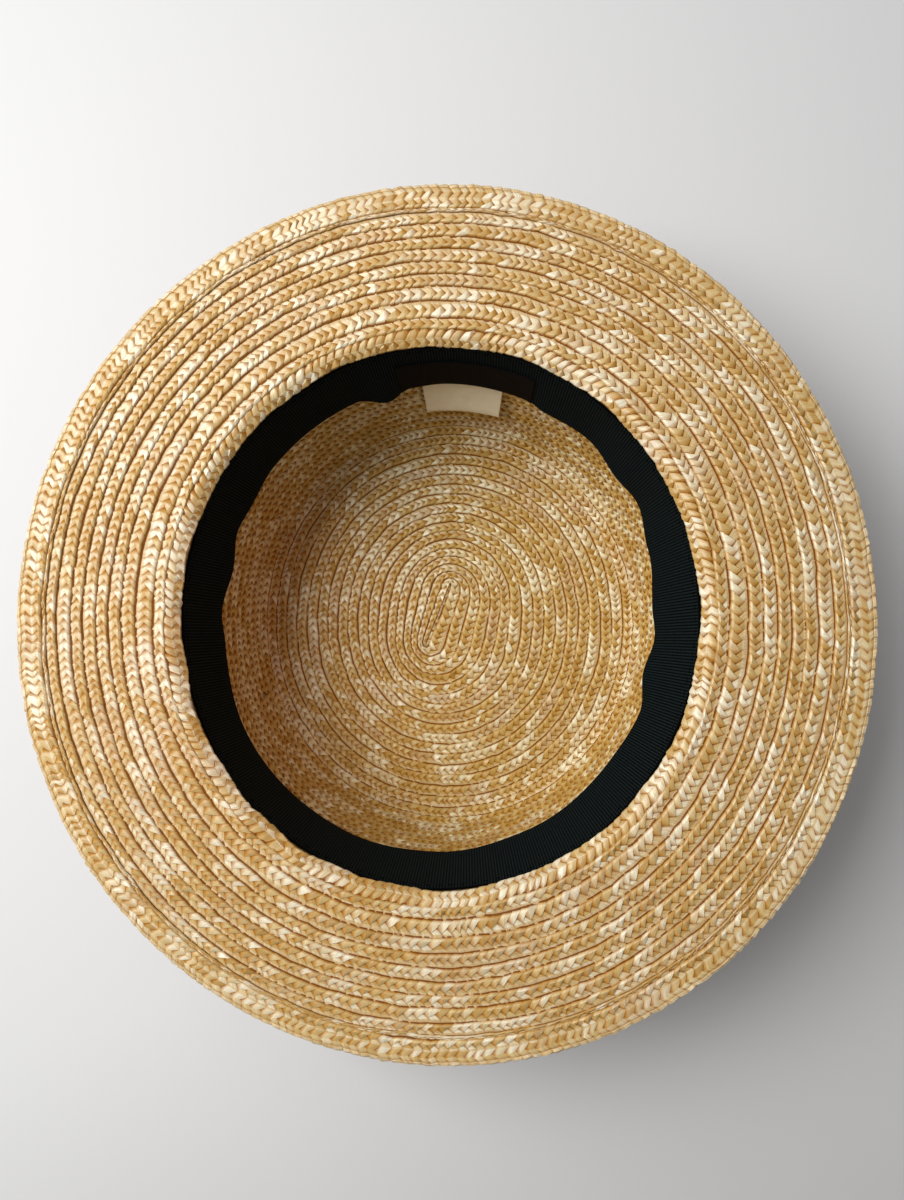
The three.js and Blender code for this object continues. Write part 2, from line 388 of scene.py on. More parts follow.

# %% [markdown]
# ## From lattices to one mesh
# Adding thousands of faces one by one would be slow, so the lattices of a piece are joined into one mesh
# from arrays. Each face corner carries the tone of its float, how much painted shade it takes in a groove,
# a crevice or under a lip, and the straw's age. The map lays the braid out in straight strips, so that a
# pattern drawn on it runs along the floats.

# %% Faces of a lattice and their marks
def lattice_faces(lattice):
    """Corner numbers of the lattice's faces, with each face's line and station."""
    count, width = lattice.hollow.shape
    rows = np.arange(count if lattice.closed else count - 1)
    line, station = (grid.ravel() for grid in np.meshgrid(rows, np.arange(width - 1), indexing="ij"))
    here, ahead = line * width + station, (line + 1) % count * width + station
    return np.stack([here, ahead, ahead + 1, here + 1], axis=-1), line, station


def face_marks(lattice, corners, line, station):
    """Tone, painted shade and age for each face corner."""
    column = columns(lattice.stations, "column")[station]
    late = starts_late(lattice.stations, lattice.lines)[station]
    number = ((line - late) // len(lattice.lines)) % len(lattice.tones)
    marks = np.ones((*corners.shape, 4), np.float32)
    marks[..., 0] = lattice.tones[number, column][:, None]
    marks[..., 1] = lattice.hollow.ravel()[corners]
    marks[..., 2] = lattice.ages[number, column][:, None]
    return marks


print("each face corner is marked with a tone, a depth and an age")

# %% Map of the braid
STRIP_MARGIN = 0.04
CELL_SHAPE = 0.6  # a float's cell is this wide for its height


def map_cells(total):
    """How many floats a strip of the map holds, and how many strips there are."""
    width = math.ceil(math.sqrt(total / CELL_SHAPE))
    return width, math.ceil(total / width)


def strip_map(lattice, line, station, done, strips, width):
    """Map places of the face corners: strips of floats, each float one cell wide."""
    number, step = done + line // len(lattice.lines), line % len(lattice.lines)
    edge = np.append(columns(lattice.lines, "along"), 1.0)
    sides = np.stack([edge[step], edge[step + 1], edge[step + 1], edge[step]], axis=-1)
    u = sides + (number % width)[:, None]
    across = np.stack([station, station, station + 1, station + 1], axis=-1) / (len(lattice.stations) - 1)
    v = STRIP_MARGIN + (1 - 2 * STRIP_MARGIN) * across + (number // width)[:, None]
    return np.stack([u / width, v / strips], axis=-1)


print("a map cell is", CELL_SHAPE, "as wide as high")

# %% Build a braid mesh
FOLD_ANGLE = math.radians(36)  # flat straw turns sharply at the sides of a float


def array_mesh(name, points, quads):
    """A smooth mesh object from arrays of points and four-cornered faces."""
    mesh = bpy.data.meshes.new(name)
    mesh.vertices.add(len(points))
    mesh.vertices.foreach_set("co", np.asarray(points, np.float32).ravel())
    mesh.loops.add(quads.size)
    mesh.loops.foreach_set("vertex_index", quads.astype(np.int32).ravel())
    mesh.polygons.add(len(quads))
    mesh.polygons.foreach_set("loop_start", np.arange(0, quads.size, 4, dtype=np.int32))
    mesh.polygons.foreach_set("use_smooth", np.ones(len(quads), bool))
    mesh.update()
    piece = bpy.data.objects.new(name, mesh)
    bpy.context.collection.objects.link(piece)
    return piece


def braid_piece(name, lattices):
    """One mesh object of all the lattices, with its marks and its map; and the map's cells each way."""
    total = sum(len(lattice.tones) for lattice in lattices)
    width, strips = map_cells(total)
    corners, marks, maps = [], [], []
    first = done = 0
    for lattice in lattices:
        face, line, station = lattice_faces(lattice)
        corners.append(first + face)
        marks.append(face_marks(lattice, face, line, station))
        maps.append(strip_map(lattice, line, station, done, strips, width))
        first += lattice.hollow.size
        done += len(lattice.tones)
    points = np.concatenate([lattice.points.reshape(-1, 3) for lattice in lattices]) * MM
    piece = array_mesh(name, points, np.concatenate(corners))
    piece.data.set_sharp_from_angle(angle=FOLD_ANGLE)
    straw_marks = piece.data.color_attributes.new("straw", "FLOAT_COLOR", "CORNER")
    straw_marks.data.foreach_set("color", np.concatenate(marks).ravel())
    strip = piece.data.uv_layers.new(name="OFBake")
    strip.data.foreach_set("uv", np.concatenate(maps).astype(np.float32).ravel())
    print(name, total, "floats,", 2 * len(piece.data.polygons), "triangles")
    return piece, (width, strips)


print("straw folds sharply past", round(math.degrees(FOLD_ANGLE)), "degrees")

# %% [markdown]
# ## Crown
# The crown is one spiral of braid: from the fold at the middle of the tip, round the corner and up the
# wall. On the hollow side each later row lies on the one before, so its free lip looks to the middle. On
# the outside it is the other way about, like shingles. The two faces are two skins of braid back to back,
# which is simpler than one thick braid. The wall's last turn stays level, so that no slit is left open.

# %% Crown sections and spirals
INSIDE_SEAT = 0.5
OUTSIDE_SEAT = 1.4
INSIDE_TOP = 62
OUTSIDE_TOP = HAT_HEIGHT
WALL_STEPS = 60
STEPS_PER_TURN = 240


def wall_curve():
    """Radii and heights up the wall's inner face, which leans out at first and then stands upright."""
    way = np.linspace(0, 1, WALL_STEPS)
    foot, middle, top = (1 - way) ** 2, 2 * way * (1 - way), way**2
    bottom = CORNER_CENTRE[0] + TIP_CORNER
    radii = foot * bottom + middle * (HEAD_RADIUS - WALL_BULGE_INSET) + top * HEAD_RADIUS
    heights = foot * CORNER_CENTRE[1] + middle * WALL_BULGE_HEIGHT + top * WALL_TOP
    return radii, heights


def crown_section(outward, top, side):
    """The crown's section, a distance outward from the inner face, up to a height."""
    tip = [(0, STRAW - outward), (CORNER_CENTRE[0], STRAW - outward)]
    corner = arc(CORNER_CENTRE, TIP_CORNER + outward, -90, 0)
    wall = [(radius + outward, height) for radius, height in zip(*wall_curve()) if height < top]
    return section(tip + corner[1:] + wall[1:], side)


def spiral(start, end, finish_turns=0):
    """A run of braid whose lip moves out by one row's pitch at each turn, then stays level to finish."""
    turns = (end - start) / ROW_PITCH + finish_turns
    lip = start + ROW_PITCH * np.linspace(0, turns, int(turns * STEPS_PER_TURN))
    return Run(2 * math.pi * lip / ROW_PITCH, np.minimum(lip, end), ROW_PITCH, closed=False)


inside = crown_section(INSIDE_SEAT, INSIDE_TOP, HOLLOW_SIDE)
outside = crown_section(STRAW - OUTSIDE_SEAT, OUTSIDE_TOP, OUTER_SIDE)
print("rows inside the crown:", round(inside.along[-1] / ROW_PITCH, 1))

# %% Crown braid
DRAW_START = 7
CORNER_SHARE = 20  # the tip's piece goes this far past the flat, and the wall's piece goes on from there
TIP_SPLIT = CORNER_CENTRE[0] + CORNER_SHARE
FINISH_TURNS = 0.85
draw = np.random.default_rng(DRAW_START)
Skin = namedtuple("Skin", "name through side stations lines start")
straw_pieces = []
for face in [
    Skin("inside", inside, HOLLOW_SIDE, LAPPED_ROW, FINE_FLOAT, -ROW_PITCH),
    Skin("outside", outside, OUTER_SIDE, PLAIN_ROW, PLAIN_FLOAT, 0),
]:
    end = face.through.along[-1]
    tip_run = spiral(face.start, TIP_SPLIT)
    wall_run = spiral(TIP_SPLIT, end, FINISH_TURNS)
    for part, run in [("tip", tip_run), ("wall", wall_run)]:
        braid = lay_braid(run, face.stations, face.lines, face.side, skin(face.through), draw)
        piece, cells = braid_piece(f"crown_{part}_{face.name}", [braid])
        straw_pieces.append((piece, cells, "crown"))

# %% [markdown]
# ## Brim
# The brim goes on from the wall: a turning row round the bend, nine lapped rows, a narrow sliver of one
# row, and over it the edge row, which shows the braid's whole width. Its outermost straws fold over the
# rim as one thin rolled strip. A spiral would be truer to the sewing, but here the rows are closed rings,
# because a ring keeps the rim's width even and no seam shows in the photograph.

# %% Brim sections and rings
UNDER_SEAT = 0.4
TOP_SEAT = 1.1
RIM_PROUD = 0.1
RIM_ROUND = 0.75
RIM_WRAP = 170  # degrees that a face goes round the rim
TURN_LENGTH = math.pi / 2 * (TURN_RADIUS - UNDER_SEAT)
LEAD_IN = 3


def brim_section(bend, side):
    """The brim's section at a distance from the centre of its turn, out to the rim and round it."""
    face = WALL_TOP + bend
    start = [(TURN_CENTRE - bend, WALL_TOP - LEAD_IN)]
    turn = arc((TURN_CENTRE, WALL_TOP), bend, 180, 90)
    rim_centre = (RIM_RADIUS + RIM_PROUD - RIM_ROUND, face - side * RIM_ROUND)
    rim = arc(rim_centre, RIM_ROUND, 90 * side, (90 - RIM_WRAP) * side)
    return section(start + turn + rim, side)


def ring(lip, width=ROW_PITCH):
    """A closed run of braid with its lip at a distance along the section."""
    turn = np.linspace(0, 2 * math.pi, STEPS_PER_TURN)
    return Run(turn, np.full_like(turn, lip), width, closed=True)


under = brim_section(TURN_RADIUS - UNDER_SEAT, HOLLOW_SIDE)
over = brim_section(TURN_RADIUS - STRAW + TOP_SEAT, OUTER_SIDE)
BRIM_LIPS = [4.7, 9.0, 15.2, 20.4, 25.0, 29.5, 34.3, 38.6, 43.6, 47.5]  # from the opening outward
EDGE_LIP = 48.9
SLIVER = 1.7  # the narrowest row reaches a little way under the edge row
TURNING_LIP = 4.0
flat_start = LEAD_IN + TURN_LENGTH - TURN_RADIUS
print("brim rows", len(BRIM_LIPS) + 2, "section", round(under.along[-1], 1), "mm along")

# %% Brim braid
OPENING_WANDER = 0.4
OPENING_REACH = 9
opening = ring(TURNING_LIP)
opening.lip[:-1] += OPENING_WANDER * wander(STEPS_PER_TURN - 1, OPENING_REACH, draw)
opening.lip[-1] = opening.lip[0]
turning_row = lay_braid(opening, TURNING_ROW, FINE_FLOAT, HOLLOW_SIDE, skin(under), draw)
lapped_rows = []
for lip, next_lip in zip(BRIM_LIPS, [*BRIM_LIPS[1:], EDGE_LIP]):
    row = ring(flat_start + lip, max(next_lip - lip, SLIVER))
    lapped_rows.append(lay_braid(row, LAPPED_ROW, FINE_FLOAT, HOLLOW_SIDE, skin(under), draw))
edge_row = lay_braid(ring(flat_start + EDGE_LIP), EDGE_ROW, FINE_FLOAT, HOLLOW_SIDE, skin(under), draw)
TOP_ROWS = 12
TOP_SHORT = 0.3  # the last top row's lip stops this far short of the rim's round
top_end = over.along[-1] - math.pi * RIM_ROUND - TOP_SHORT
top_pitch = (top_end - LEAD_IN) / TOP_ROWS
top_rows = [
    lay_braid(ring(LEAD_IN + top_pitch * (row + 1)), PLAIN_ROW, PLAIN_FLOAT, OUTER_SIDE, skin(over), draw)
    for row in range(TOP_ROWS)
]
for name, rows in [
    ("brim_underside", [turning_row, *lapped_rows]),
    ("brim_edge_row", [edge_row]),
    ("brim_top_side", top_rows),
]:
    piece, cells = braid_piece(name, rows)
    straw_pieces.append((piece, cells, "brim"))

# %% [markdown]
# ## Straw
# The real material is wheat straw, split flat, plaited wet and pressed. It is satin along its fibres, and
# each straw has its own tone from cream to deep gold. A painted picture could hold the tones, but marks on
# the mesh keep each float's tone sharp. A streaky noise that runs along the float gives the fibres.
# Grooves, crevices, the lip faces and the gaps under the lips are painted a darker brown as shade, and are
# made dull. The inside of the crown is given a redder, more golden palette than the brim and the outside,
# which paints the warm light that the straw throws about inside the shaded crown.

# %% Colour and node helpers
def linear(hex_code):
    """Linear RGBA from an sRGB hex colour."""
    parts = [int(hex_code[i : i + 2], 16) / 255 for i in (1, 3, 5)]
    return tuple(p / 12.92 if p <= 0.04045 else ((p + 0.055) / 1.055) ** 2.4 for p in parts) + (1.0,)


def add_node(tree, kind, inputs=None, **settings):
    """A node with its settings, whose inputs are given values or linked to other nodes' outputs."""
    node = tree.nodes.new(kind)
    for name, value in settings.items():
        setattr(node, name, value)
    for socket, value in (inputs or {}).items():
        if isinstance(value, bpy.types.NodeSocket):
            tree.links.new(value, node.inputs[socket])
        else:
            node.inputs[socket].default_value = value
    return node


def new_material(name):
    """A material with an empty node tree but for its shader, and that tree and shader."""
    material = bpy.data.materials.new(name)
    material.use_nodes = True
    return material, material.node_tree, material.node_tree.nodes["Principled BSDF"]


print("white is", linear("#ffffff"))

# %% Plaited wheat straw
BLEND, FROM, TO, BLENDED = 0, 6, 7, 2  # a colour mix's inputs and its output go by number
TONE_PLACES = (0.0, 0.35, 0.6, 0.8, 1.0)
# the inside palette is redder and more golden: painted warm light that the straw throws about in the shaded
# crown
BRIM_AND_OUTSIDE_TONES = ("#b08844", "#c8a25e", "#d6b97c", "#e3cd9c", "#f4eacc")
INSIDE_PAINTED_WARMTH = ("#b08637", "#c8a04e", "#d6b669", "#e5ce91", "#f8efc6")
WEATHERED = "#d6bc98"
# painted shade: the browns that grooves, crevices and the gaps under the lips are mixed towards
GROOVE_SHADE = "#ae7424"
CREVICE_SHADE = "#743d0c"
GREYED_FROM, GREYED_MOST = 0.5, 0.55
FIBRE_SPACING = 0.28  # real fibres are finer, and are drawn as coarse as they need to show
FIBRE_CHANGES = 2  # across a row, which is along its floats
FIBRE_TONES = (0.64, 1.08)
FIBRE_NOISE = (0.3, 0.7)  # the noise between these makes the tones
FIBRE_RELIEF = 0.12
# both powers shape how the painted shade mark darkens the straw
SHADE_CURVE, CREVICE_CURVE = 1.15, 3.0  # powers of how deep a point lies
STRAW_ROUGHNESS = 0.4
STRAW_GLOSS, CREVICE_GLOSS, DULL_DEPTH = 0.9, 0.02, 0.6


def plaited_straw(name, cells, colours):
    """Satin straw in these colours, for a piece whose map has this many floats and strips."""
    material, tree, shader = new_material(name)
    marks = add_node(tree, "ShaderNodeVertexColor", layer_name="straw")
    parts = add_node(tree, "ShaderNodeSeparateColor", {"Color": marks.outputs["Color"]})
    tones = add_node(tree, "ShaderNodeValToRGB", {"Fac": parts.outputs["Red"]})
    while len(tones.color_ramp.elements) < len(TONE_PLACES):
        tones.color_ramp.elements.new(0.5)
    for element, place, colour in zip(tones.color_ramp.elements, TONE_PLACES, colours):
        element.position = place
        element.color = linear(colour)
    greyed = add_node(
        tree,
        "ShaderNodeMapRange",
        {"Value": parts.outputs["Blue"], "From Min": GREYED_FROM, "To Max": GREYED_MOST},
    )
    dry = add_node(
        tree,
        "ShaderNodeMix",
        {BLEND: greyed.outputs["Result"], FROM: tones.outputs["Color"], TO: linear(WEATHERED)},
        data_type="RGBA",
    )
    strips = add_node(tree, "ShaderNodeUVMap", uv_map="OFBake")
    fibre_scale = (cells[0] * FLOAT_PITCH / FIBRE_SPACING, cells[1] * FIBRE_CHANGES, 1)
    fibres = add_node(tree, "ShaderNodeMapping", {"Vector": strips.outputs["UV"], "Scale": fibre_scale})
    noise = add_node(
        tree, "ShaderNodeTexNoise", {"Vector": fibres.outputs["Vector"], "Scale": 1.0, "Detail": 3.0}
    )
    streak = add_node(
        tree,
        "ShaderNodeMapRange",
        {
            "Value": noise.outputs["Fac"],
            "From Min": FIBRE_NOISE[0],
            "From Max": FIBRE_NOISE[1],
            "To Min": FIBRE_TONES[0],
            "To Max": FIBRE_TONES[1],
        },
    )
    streaked = add_node(
        tree,
        "ShaderNodeMix",
        {BLEND: 1.0, FROM: dry.outputs[BLENDED], TO: streak.outputs["Result"]},
        data_type="RGBA",
        blend_type="MULTIPLY",
    )
    # the green mark is painted shade: where it is high, the straw's colour is mixed towards the groove and
    # crevice browns and its gloss is lowered
    hollow = parts.outputs["Green"]
    deepest = add_node(tree, "ShaderNodeMath", {0: hollow, 1: CREVICE_CURVE}, operation="POWER")
    shade = add_node(
        tree,
        "ShaderNodeMix",
        {BLEND: deepest.outputs[0], FROM: linear(GROOVE_SHADE), TO: linear(CREVICE_SHADE)},
        data_type="RGBA",
    )
    depth = add_node(tree, "ShaderNodeMath", {0: hollow, 1: SHADE_CURVE}, operation="POWER")
    colour = add_node(
        tree,
        "ShaderNodeMix",
        {BLEND: depth.outputs[0], FROM: streaked.outputs[BLENDED], TO: shade.outputs[BLENDED]},
        data_type="RGBA",
    )
    bump = add_node(
        tree,
        "ShaderNodeBump",
        {"Strength": 0.5, "Distance": FIBRE_RELIEF * MM, "Height": noise.outputs["Fac"]},
    )
    gloss = add_node(
        tree,
        "ShaderNodeMapRange",
        {"Value": hollow, "From Max": DULL_DEPTH, "To Min": STRAW_GLOSS, "To Max": CREVICE_GLOSS},
    )
    shader.inputs["Roughness"].default_value = STRAW_ROUGHNESS
    tree.links.new(colour.outputs[BLENDED], shader.inputs["Base Color"])
    tree.links.new(bump.outputs["Normal"], shader.inputs["Normal"])
    tree.links.new(gloss.outputs["Result"], shader.inputs["Specular IOR Level"])
    return material


for piece, cells, node in straw_pieces:
    colours = INSIDE_PAINTED_WARMTH if piece.name.endswith("_inside") else BRIM_AND_OUTSIDE_TONES
    piece.data.materials.append(plaited_straw(f"plaited wheat straw {piece.name}", cells, colours))
    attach(piece, "root")
    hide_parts(node)
print("straw pieces:", len(straw_pieces))

# %% [markdown]
# ## Sweatband
# A black grosgrain ribbon is sewn round the opening by its upper edge. Its lower edge is free, so it leans
# in and waves. Grosgrain is ribbed across its length by thick weft threads, and the ribs here are real
# relief, because they are what the light picks out on the right of the hat. Cloth simulation could hang the
# ribbon, but the waves are read from the photograph, so the table of leans that shapes the solid is used.
# Soft cloth gives more than the stiff solid: its free edge hangs a little further in, and its sewn edge is
# pulled out and up against the straw.

# %% Sweatband sizes
BAND_WIDTH = 30
BAND_ABOVE_WALL = 0.5
BAND_TOP = WALL_TOP + BAND_ABOVE_WALL
BAND_SEAT = 0.4
BAND_TUCK = 0.7
FREE_HANG = 1.1
HANG_CURVE = 1.15  # over 1, so the ribbon leaves the wall more gently near its sewn edge
BAND_THICK = 0.8
SEWN_RISE = 0.7
SEWN_WAVES = [
    Wave(5, 0.5, math.radians(10)),
    Wave(9, 0.4, math.radians(25)),
    Wave(16, 0.3, math.radians(4)),
]
Lean = namedtuple("Lean", "turn lean")
BAND_LEAN = [
    Lean(0, 1.0), Lean(20, 1.4), Lean(27, 3.4), Lean(40, 2.4), Lean(52, 4.6), Lean(60, 3), Lean(72, 6),
    Lean(87, 8), Lean(94, 7), Lean(103, 9.2), Lean(114, 5.8), Lean(126, 6.4), Lean(157, 5), Lean(180, 3.3),
    Lean(205, 2), Lean(238, 1.2), Lean(263, 2.8), Lean(270, 1.8), Lean(281, 4.2), Lean(291, 1.6),
    Lean(298, 2.4), Lean(310, 1.2), Lean(336, 1.2), Lean(344, 5.6), Lean(351, 1.6), Lean(360, 1.0),
]
band_leans = columns(BAND_LEAN, "lean")
print("free edge leans in by", band_leans.min(), "to", band_leans.max(), "mm")

# %% Sweatband shape
def band_lean(turn):
    """How far the ribbon's free edge leans in at a turn, eased between the waves."""
    turns = columns(BAND_LEAN, "turn")
    degrees = np.degrees(turn) % 360
    upper = np.clip(np.searchsorted(turns, degrees, side="right"), 1, len(turns) - 1)
    way = (degrees - turns[upper - 1]) / (turns[upper] - turns[upper - 1])
    eased = (1 - np.cos(math.pi * way)) / 2
    return band_leans[upper - 1] + (band_leans[upper] - band_leans[upper - 1]) * eased


def wall_radius(height):
    """The inner face of the crown wall at a height."""
    radii, heights = wall_curve()
    return np.interp(height, heights, radii)


def sewn_wave(turn):
    """How the sewn edge rises and falls, because a ribbon is eased round the oval by hand."""
    return SEWN_RISE + swell(SEWN_WAVES, turn)


def band_point(turn, drop, depth):
    """A point of the ribbon: drop below its sewn edge, depth inward from its outer face."""
    free_edge = wall_radius(BAND_TOP - BAND_WIDTH) - BAND_SEAT - FREE_HANG - band_lean(turn)
    sewn_edge = HEAD_RADIUS - BAND_SEAT + BAND_TUCK
    radius = sewn_edge + (free_edge - sewn_edge) * (drop / BAND_WIDTH) ** HANG_CURVE - depth
    x, y = plan(radius, turn)
    height = BAND_TOP - drop + sewn_wave(turn) * (1 - drop / BAND_WIDTH)
    return np.stack([x, y, np.broadcast_to(height, x.shape)], axis=-1)


print("ribbon hangs from", BAND_TOP, "to", BAND_TOP - BAND_WIDTH, "mm high")

# %% Sweatband mesh
def closed_strip(name, points, wrap):
    """A closed mesh from loops of points in a row; the row closes on itself, or its two ends are capped."""
    lines, width = points.shape[:2]
    line, place = np.meshgrid(np.arange(lines if wrap else lines - 1), np.arange(width), indexing="ij")
    ahead, beside = (line + 1) % lines, (place + 1) % width
    corners = [line * width + place, line * width + beside, ahead * width + beside, ahead * width + place]
    quads = np.stack(corners, axis=-1).reshape(-1, 4)
    if not wrap:
        half = np.arange(width // 2 - 1)
        cap = np.stack([half, width - 1 - half, width - 2 - half, half + 1], axis=-1)
        quads = np.concatenate([quads, cap, cap[:, ::-1] + (lines - 1) * width])
    return array_mesh(name, points.reshape(-1, 3) * MM, quads)


RIB_PITCH = 1.08
RIB_HEIGHT = 0.28
SELVEDGE = 1.0
EDGE_ROLL = 0.35
BACK_DEPTH = 0.15
ribs = round(2 * math.pi * HEAD_RADIUS / RIB_PITCH)
edge_drops = np.array([0, EDGE_ROLL, SELVEDGE])
front_drops = np.concatenate([edge_drops, [4, 8, 12, 16, 20, 24, 27], BAND_WIDTH - edge_drops[::-1]])
back_drops = np.array([BAND_WIDTH - EDGE_ROLL, 24, 12, EDGE_ROLL])  # fewer, because the back is hidden
band_turn = np.arange(2 * ribs)[:, None] * math.pi / ribs  # a groove and a crest for each rib
ribbed = (front_drops >= SELVEDGE) & (front_drops <= BAND_WIDTH - SELVEDGE)
rib_rise = np.tile([0.0, RIB_HEIGHT], ribs)[:, None] * ribbed
front = band_point(band_turn, front_drops, BAND_THICK - RIB_HEIGHT / 2 + rib_rise)
back = band_point(band_turn, back_drops, BACK_DEPTH)
sweatband = closed_strip("sweatband_ribbon", np.concatenate([front, back], axis=1), wrap=True)
rib_marks = np.zeros((2 * ribs, len(front_drops) + len(back_drops)), np.float32)
rib_marks[:, : len(front_drops)] = rib_rise / RIB_HEIGHT
sweatband.data.attributes.new("rib", "FLOAT", "POINT").data.foreach_set("value", rib_marks.ravel())
print("ribs", ribs, "triangles", 2 * len(sweatband.data.polygons))

# %% Black grosgrain
GROSGRAIN = "#020303"
# painted sheen: the lighter colour that the rib crests are mixed towards
GROSGRAIN_PAINTED_SHEEN = "#293a3f"
THREAD_SPACING = 0.45  # coarser than the real threads, so that they show
THREAD_RELIEF = 0.1
CREST_CURVE = 2.0  # a power, so the sheen keeps to the crests
GROSGRAIN_ROUGHNESS = 0.7
GROSGRAIN_GLOSS = 0.03


def black_grosgrain():
    """Cotton and rayon ribbon, ribbed in the weaving: matt black, with a faint sheen painted in a lighter
    blue-black on the rib crests.
    """
    material, tree, shader = new_material("black grosgrain ribbon")
    place = add_node(tree, "ShaderNodeTexCoord")
    noise = add_node(
        tree,
        "ShaderNodeTexNoise",
        {"Vector": place.outputs["Object"], "Scale": 1 / (THREAD_SPACING * MM), "Detail": 2.0},
    )
    rib = add_node(tree, "ShaderNodeAttribute", attribute_name="rib")
    crest = add_node(tree, "ShaderNodeMath", {0: rib.outputs["Fac"], 1: CREST_CURVE}, operation="POWER")
    tone = add_node(
        tree, "ShaderNodeMath", {0: crest.outputs[0], 1: noise.outputs["Fac"]}, operation="MULTIPLY"
    )
    colour = add_node(
        tree,
        "ShaderNodeMix",
        {BLEND: tone.outputs[0], FROM: linear(GROSGRAIN), TO: linear(GROSGRAIN_PAINTED_SHEEN)},
        data_type="RGBA",
    )
    bump = add_node(
        tree,
        "ShaderNodeBump",
        {"Strength": 0.3, "Distance": THREAD_RELIEF * MM, "Height": noise.outputs["Fac"]},
    )
    tree.links.new(colour.outputs[BLENDED], shader.inputs["Base Color"])
    tree.links.new(bump.outputs["Normal"], shader.inputs["Normal"])
    shader.inputs["Roughness"].default_value = GROSGRAIN_ROUGHNESS
    shader.inputs["Specular IOR Level"].default_value = GROSGRAIN_GLOSS
    return material


grosgrain = black_grosgrain()
sweatband.data.materials.append(grosgrain)
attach(sweatband, "root")
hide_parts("sweatband")

# %% [markdown]
# ## Stitches of the sweatband
# A line of small stitches holds the ribbon's upper edge to the straw. Each is a short bead of thread that
# lies along the ribbon and dips into it at both ends. One stitch could be repeated along a curve, but
# placing them with the ribbon's own function keeps them on its waves.

# %% Stitches
STITCH_PITCH = 4.2
STITCH_LENGTH = 2.6
STITCH_DROP = 3.0
STITCH_PROUD = 0.05
THREAD_RADIUS = 0.22
THREAD_TIP = 0.02  # keeps the ends of a stitch from closing to a point
THREAD_RINGS = 5
THREAD_SIDES = 6


def stitch_row(name, turns):
    """A row of stitches as one mesh: each a bead of thread, rings of points along it, thin at its ends."""
    rings = np.linspace(-0.5, 0.5, THREAD_RINGS)[:, None]
    girth = THREAD_RADIUS * np.sqrt(np.maximum(THREAD_TIP, 1 - (2 * rings) ** 2))
    around = np.linspace(0, 2 * math.pi, THREAD_SIDES, endpoint=False)
    turn = turns[:, None, None] + rings * STITCH_LENGTH / HEAD_RADIUS
    down = STITCH_DROP + girth * np.cos(around)
    inward = BAND_THICK + STITCH_PROUD + girth * np.sin(around)
    points = band_point(*np.broadcast_arrays(turn, down, inward))
    line, spot = np.meshgrid(np.arange(THREAD_RINGS - 1), np.arange(THREAD_SIDES), indexing="ij")
    beside = (spot + 1) % THREAD_SIDES
    here, ahead = line * THREAD_SIDES, (line + 1) * THREAD_SIDES
    face = np.stack([here + spot, ahead + spot, ahead + beside, here + beside], axis=-1).reshape(-1, 4)
    first = np.arange(len(turns))[:, None, None] * THREAD_RINGS * THREAD_SIDES
    return array_mesh(name, points.reshape(-1, 3) * MM, (first + face).reshape(-1, 4))


stitch_count = round(2 * math.pi * HEAD_RADIUS / STITCH_PITCH)
stitch_turns = np.arange(stitch_count) * 2 * math.pi / stitch_count
band_stitches = stitch_row("sweatband_stitches", stitch_turns)
band_stitches.data.materials.append(grosgrain)
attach(band_stitches, "root")
print("stitches", stitch_count)

# %% [markdown]
# ## Label and size tag
# The label is a strip of brown-black damask with its ends folded under, sewn to the lower part of the
# ribbon at the back. It is left bare. The size tag is a piece of cream tape that hangs from behind the
# ribbon against the wall, and it is left bare too. Modifiers could bend flat slabs of cloth, but both are
# placed point by point on the ribbon and on the wall, so that they follow their waves and curves.

# %% Cloth patches
PATCH_ACROSS, PATCH_DOWN = 40, 12
HEM = 0.4
HEM_THIN = 0.3  # within the hem, the cloth thins to this share of its thickness


def hemmed_steps(length, steps):
    """Even steps over a length about its middle, and one more close to each end for its rounded edge."""
    even = np.linspace(-length / 2, length / 2, steps + 1)
    return np.concatenate([even[:1], even[:1] + HEM, even[1:-1], even[-1:] - HEM, even[-1:]])


def patch(name, width, height, thick, place):
    """A thin slab of cloth with rounded edges, bent by the place function: along, drop and depth."""
    along = hemmed_steps(width, PATCH_ACROSS)
    drop = hemmed_steps(height, PATCH_DOWN)
    front = np.full(len(drop), thick)
    front[[0, -1]] = thick * (1 + HEM_THIN) / 2
    loop_drop = np.concatenate([drop, drop[::-1]])
    loop_depth = np.concatenate([front, thick - front])
    squeeze = np.ones(len(along))
    squeeze[[0, -1]] = HEM_THIN
    depth = thick / 2 + (loop_depth - thick / 2) * squeeze[:, None]
    points = place(*np.broadcast_arrays(along[:, None], loop_drop, depth))
    return closed_strip(name, points, wrap=False)


print("a patch has", PATCH_ACROSS, "by", PATCH_DOWN, "steps")

# %% Label and tag
LABEL_WIDTH, LABEL_HEIGHT, LABEL_THICK = 56, 18, 0.6
LABEL_TURN, LABEL_DROP, LABEL_GAP = math.radians(5.4), 20.5, 0.12
TAG_WIDTH, TAG_HEIGHT, TAG_THICK = 34, 36, 0.4
TAG_TURN, TAG_DROP, TAG_GAP = math.radians(4), 36.6, 0.9
TAG_SKEW = math.radians(1.5)
TAG_CURL = 4


def label_place(along, drop, depth):
    """A point of the label, on the inner face of the ribbon."""
    turn = LABEL_TURN + along / HEAD_RADIUS
    return band_point(turn, LABEL_DROP + drop, BAND_THICK + LABEL_GAP + depth)


